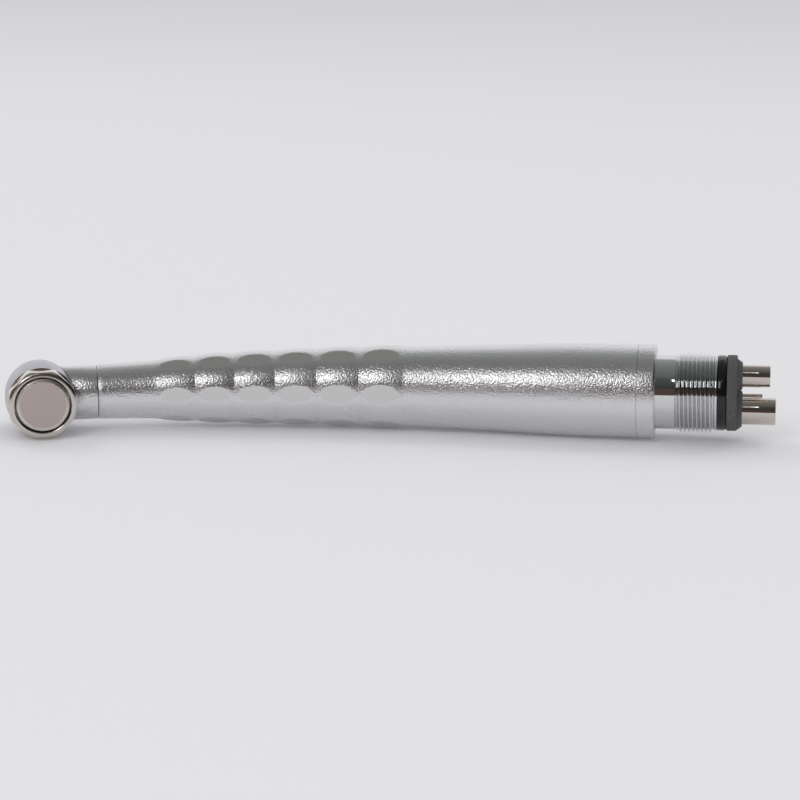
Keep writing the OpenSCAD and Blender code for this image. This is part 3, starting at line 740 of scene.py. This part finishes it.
# %% A starting metal
def metal(name, colour, roughness, metallic=1.0):
    """A Principled material: returns it with its node tree, its shader and its coordinates."""
    made = bpy.data.materials.new(name)
    made.use_nodes = True
    tree = made.node_tree
    shader = tree.nodes["Principled BSDF"]
    shader.inputs["Base Color"].default_value = linear(colour)
    shader.inputs["Roughness"].default_value = roughness
    shader.inputs["Metallic"].default_value = metallic
    where = node(tree, "ShaderNodeTexCoord")
    return made, tree, shader, where.outputs["Object"]


def per_mm(size):
    """The texture scale whose grain is that many millimetres wide."""
    return 1 / (size * MM)


def wear(piece, *slots):
    """Puts the materials on a piece, in place of what it had."""
    piece.data.materials.clear()
    for slot in slots:
        piece.data.materials.append(slot)


# %% [markdown]
# Blasted nickel: the handle is plated and then blasted with fine glass beads, which leaves tiny
# round dents. Each dent catches the light on its own, so the surface sparkles where bright and
# dark parts of the room meet, and looks smooth where the reflection is even. Real dents are
# about a tenth of a millimetre; they are drawn coarser, because finer ones would blur away.

# %% Blasted nickel
GRAIN = 0.28
blasted, tree, shader, place = metal("bead_blasted_nickel", "#E2E2E4", 0.3)
flats = node(tree, "ShaderNodeAttribute", {"attribute_name": "mark"})
depth = node(tree, "ShaderNodeMapRange", {3: 1.0, 4: 0.12}, {0: flats.outputs["Fac"]})
dents = node(tree, "ShaderNodeTexNoise", {"Scale": per_mm(GRAIN), "Detail": 1.5, "Roughness": 0.5},
             {"Vector": place})
bump = node(tree, "ShaderNodeBump", {"Distance": 0.00007},
            {"Height": dents.outputs["Fac"], "Strength": depth.outputs[0]})
cloud = node(tree, "ShaderNodeTexNoise", {"Scale": per_mm(9), "Detail": 3.0}, {"Vector": place})
gloss = node(tree, "ShaderNodeMapRange", {1: 0.3, 2: 0.7, 3: 0.26, 4: 0.31}, {0: cloud.outputs["Fac"]})
smooth = node(tree, "ShaderNodeMix", {"data_type": "FLOAT", 3: 0.17},
              {0: flats.outputs["Fac"], 2: gloss.outputs[0]})
milled = node(tree, "ShaderNodeMix", {"data_type": "RGBA", 6: linear("#E2E2E4"), 7: linear("#D4D4D3")},
              {0: flats.outputs["Fac"]})
tree.links.new(milled.outputs[2], shader.inputs["Base Color"])
tree.links.new(smooth.outputs[0], shader.inputs["Roughness"])
tree.links.new(bump.outputs["Normal"], shader.inputs["Normal"])
wear(handle_shell, blasted)
wear(neck_sleeve, blasted)
wear(rear_ring, blasted)
print("bead_blasted_nickel: grain", GRAIN, "mm")

# %% [markdown]
# Satin nickel: the head shell is brushed on the lathe and then tumbled, so it is smooth with a
# soft, slightly blue shine and only a faint fine grain.

# %% Satin nickel
satin, tree, shader, place = metal("satin_nickel_plate", "#A3A2AB", 0.24)
haze = node(tree, "ShaderNodeTexNoise", {"Scale": per_mm(2.5), "Detail": 4.0}, {"Vector": place})
gloss = node(tree, "ShaderNodeMapRange", {1: 0.3, 2: 0.7, 3: 0.21, 4: 0.27}, {0: haze.outputs["Fac"]})
fine = node(tree, "ShaderNodeTexNoise", {"Scale": per_mm(0.25), "Detail": 1.0}, {"Vector": place})
bump = node(tree, "ShaderNodeBump", {"Strength": 0.12, "Distance": 0.00001}, {"Height": fine.outputs["Fac"]})
tree.links.new(gloss.outputs[0], shader.inputs["Roughness"])
tree.links.new(bump.outputs["Normal"], shader.inputs["Normal"])
wear(head_shell, satin)

# %% [markdown]
# Polished steel: the cap's flats and rim are polished bright. Polish leaves short hairlines that
# show only in the shine.

# %% Polished steel
polished, tree, shader, place = metal("polished_stainless_steel", "#D2CCC4", 0.2)
hair = node(tree, "ShaderNodeMapping", {"Scale": (1.0, 1.0, 12.0)}, {"Vector": place})
lines = node(tree, "ShaderNodeTexNoise", {"Scale": per_mm(1.2), "Detail": 4.0},
             {"Vector": hair.outputs["Vector"]})
gloss = node(tree, "ShaderNodeMapRange", {1: 0.3, 2: 0.75, 3: 0.16, 4: 0.26}, {0: lines.outputs["Fac"]})
tree.links.new(gloss.outputs[0], shader.inputs["Roughness"])
wear(back_cap, polished)

# %% [markdown]
# Ground steel: the button's face is faced on a lathe, so its marks are circles round its centre.
# A Mapping node turns the object's coordinates into the head's own, and a ring wave follows the
# radius. The plating gives it a warm, slightly pink tone. The rounded rim is blasted instead, so
# it is rougher, and its lighter colour is a painted highlight: the light that the rounded rim catches.

# %% Button steel
ground, tree, shader, place = metal("ground_steel", "#BDB0AA", 0.25)
turn_back = HEAD_FRAME.inverted()
own = node(tree, "ShaderNodeMapping", {"Location": turn_back.translation, "Rotation": turn_back.to_euler()},
           {"Vector": place})
rings = node(tree, "ShaderNodeTexWave",
             {"wave_type": "RINGS", "rings_direction": "Z", "Scale": per_mm(0.3) / 20,
              "Distortion": 1.2, "Detail": 2.0}, {"Vector": own.outputs["Vector"]})
grit = node(tree, "ShaderNodeTexNoise", {"Scale": per_mm(0.25), "Detail": 2.0}, {"Vector": place})
both = node(tree, "ShaderNodeMath", {"operation": "MULTIPLY_ADD", 1: 0.4},
            {0: rings.outputs["Fac"], 2: grit.outputs["Fac"]})
bump = node(tree, "ShaderNodeBump", {"Strength": 0.25, "Distance": 0.00001}, {"Height": both.outputs[0]})
tree.links.new(bump.outputs["Normal"], shader.inputs["Normal"])
# The rim's lighter colour is a painted highlight: the light that the rounded rim catches. Its roughness and
# dents are the blasting.
rim, tree, shader, place = metal("blasted_button_rim_painted_highlight", "#DAD5D0", 0.38)
dents = node(tree, "ShaderNodeTexNoise", {"Scale": per_mm(0.25), "Detail": 1.5}, {"Vector": place})
bump = node(tree, "ShaderNodeBump", {"Distance": 0.00006}, {"Height": dents.outputs["Fac"]})
tree.links.new(bump.outputs["Normal"], shader.inputs["Normal"])
wear(push_button, ground, rim)
for index in button_rim:
    push_button.data.polygons[index].material_index = 1

# %% [markdown]
# Chrome plate: bright, nearly a mirror, with a very faint haze from handling.

# %% Chrome plate
chrome, tree, shader, place = metal("bright_chrome_plate", "#DADBDC", 0.04)
haze = node(tree, "ShaderNodeTexNoise", {"Scale": per_mm(1.5), "Detail": 4.0}, {"Vector": place})
gloss = node(tree, "ShaderNodeMapRange", {1: 0.35, 2: 0.7, 3: 0.025, 4: 0.06}, {0: haze.outputs["Fac"]})
tree.links.new(gloss.outputs[0], shader.inputs["Roughness"])
wear(connector, chrome)

# %% [markdown]
# Nitrile rubber: the front gasket is moulded in a polished mould and stays glossy and nearly
# black. The rear one is matt and picks up pale dust specks.

# %% Rubbers
glossy_rubber, tree, shader, place = metal("nitrile_rubber", "#0F0F11", 0.15, 0.0)
shader.inputs["IOR"].default_value = 1.52
ripple = node(tree, "ShaderNodeTexNoise", {"Scale": per_mm(0.6), "Detail": 3.0}, {"Vector": place})
bump = node(tree, "ShaderNodeBump", {"Strength": 0.2, "Distance": 0.00003}, {"Height": ripple.outputs["Fac"]})
tree.links.new(bump.outputs["Normal"], shader.inputs["Normal"])
wear(front_gasket, glossy_rubber)

matt_rubber, tree, shader, place = metal("silicone_rubber", "#3A3A3D", 0.62, 0.0)
shader.inputs["IOR"].default_value = 1.43
grain = node(tree, "ShaderNodeTexNoise", {"Scale": per_mm(0.3), "Detail": 3.0}, {"Vector": place})
dust = node(tree, "ShaderNodeTexVoronoi", {"Scale": per_mm(0.7)}, {"Vector": place})
speck = node(tree, "ShaderNodeMapRange", {1: 0.08, 2: 0.2, 3: 0.75, 4: 0.0}, {0: dust.outputs["Distance"]})
dusty = node(tree, "ShaderNodeMix", {"data_type": "RGBA", 6: linear("#535356"), 7: linear("#8E8D8A")},
             {0: speck.outputs[0]})
bump = node(tree, "ShaderNodeBump", {"Strength": 0.35, "Distance": 0.00003}, {"Height": grain.outputs["Fac"]})
tree.links.new(dusty.outputs[2], shader.inputs["Base Color"])
tree.links.new(bump.outputs["Normal"], shader.inputs["Normal"])
wear(rear_gasket, matt_rubber)

# %% [markdown]
# Nickel tube: drawn tube has long fine lines along its axis and a warm tone.

# %% Nickel tube
drawn, tree, shader, place = metal("drawn_nickel_tube", "#CFC7BE", 0.07)
along = node(tree, "ShaderNodeMapping", {"Scale": (0.06, 1.0, 1.0)}, {"Vector": place})
lines = node(tree, "ShaderNodeTexNoise", {"Scale": per_mm(0.3), "Detail": 2.0},
             {"Vector": along.outputs["Vector"]})
bump = node(tree, "ShaderNodeBump", {"Strength": 0.2, "Distance": 0.00001}, {"Height": lines.outputs["Fac"]})
tree.links.new(bump.outputs["Normal"], shader.inputs["Normal"])
for line in LINES:
    wear(bpy.data.objects[f"{line}_tube_end"], drawn)

# %% [markdown]
# ## The hidden parts
# The bearings, the turbine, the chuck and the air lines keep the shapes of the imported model.
# They still get their real finishes, because a view into the nose or a pose can show them. They
# share one recipe: a metal or plastic with a fine grain in its roughness. The two wound springs
# wear the same spring steel as the snap ring and the washer.

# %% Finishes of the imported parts
def inner_finish(name, colour, roughness, grain, metallic=1.0):
    """A finish whose gloss varies with a grain of that many millimetres."""
    made, tree, shader, place = metal(name, colour, roughness, metallic)
    noise = node(tree, "ShaderNodeTexNoise", {"Scale": per_mm(grain), "Detail": 3.0}, {"Vector": place})
    gloss = node(tree, "ShaderNodeMapRange", {1: 0.3, 2: 0.7, 3: roughness * 0.8, 4: roughness * 1.25},
                 {0: noise.outputs["Fac"]})
    bump = node(tree, "ShaderNodeBump", {"Strength": 0.15, "Distance": 0.00001},
                {"Height": noise.outputs["Fac"]})
    tree.links.new(gloss.outputs[0], shader.inputs["Roughness"])
    tree.links.new(bump.outputs["Normal"], shader.inputs["Normal"])
    return made


bearing_steel = inner_finish("polished_bearing_steel", "#D9D9DB", 0.08, 0.8)
cage_resin = inner_finish("machined_phenolic_resin", "#7A4A26", 0.45, 0.2, 0.0)
oring_rubber = inner_finish("fluoro_rubber", "#2A1B16", 0.5, 0.3, 0.0)
spring_steel = inner_finish("drawn_spring_steel", "#8D8F94", 0.25, 0.3)
turbine_alloy = inner_finish("milled_aluminium_alloy", "#D4D0C4", 0.22, 0.25)
brass = inner_finish("turned_brass", "#C9A35A", 0.25, 0.3)
turned_steel = inner_finish("hardened_tool_steel", "#B4B2B0", 0.2, 0.4)
INNER = {bearing_steel: ["rear_bearing_outer_race", "rear_bearing_inner_race", "rear_bearing_balls",
                         "front_bearing_outer_race", "front_bearing_inner_race", "front_bearing_balls"],
         cage_resin: ["rear_bearing_cage", "front_bearing_cage"],
         oring_rubber: ["rear_bearing_oring", "front_bearing_oring"],
         glossy_rubber: ["connector_seal"],
         spring_steel: ["button_retainer", "preload_washer"],
         turbine_alloy: ["impeller"],
         brass: ["air_jet"],
         turned_steel: ["spindle", "chuck_collet", "chuck_plunger"],
         drawn: ["drive_air_tube", "water_tube", "chip_air_tube"]}
for finish, names in INNER.items():
    for name in names:
        wear(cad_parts[name], finish)
for piece in springs:
    wear(piece, spring_steel)
print("packed parts with a finish:", sum(len(names) for names in INNER.values()))
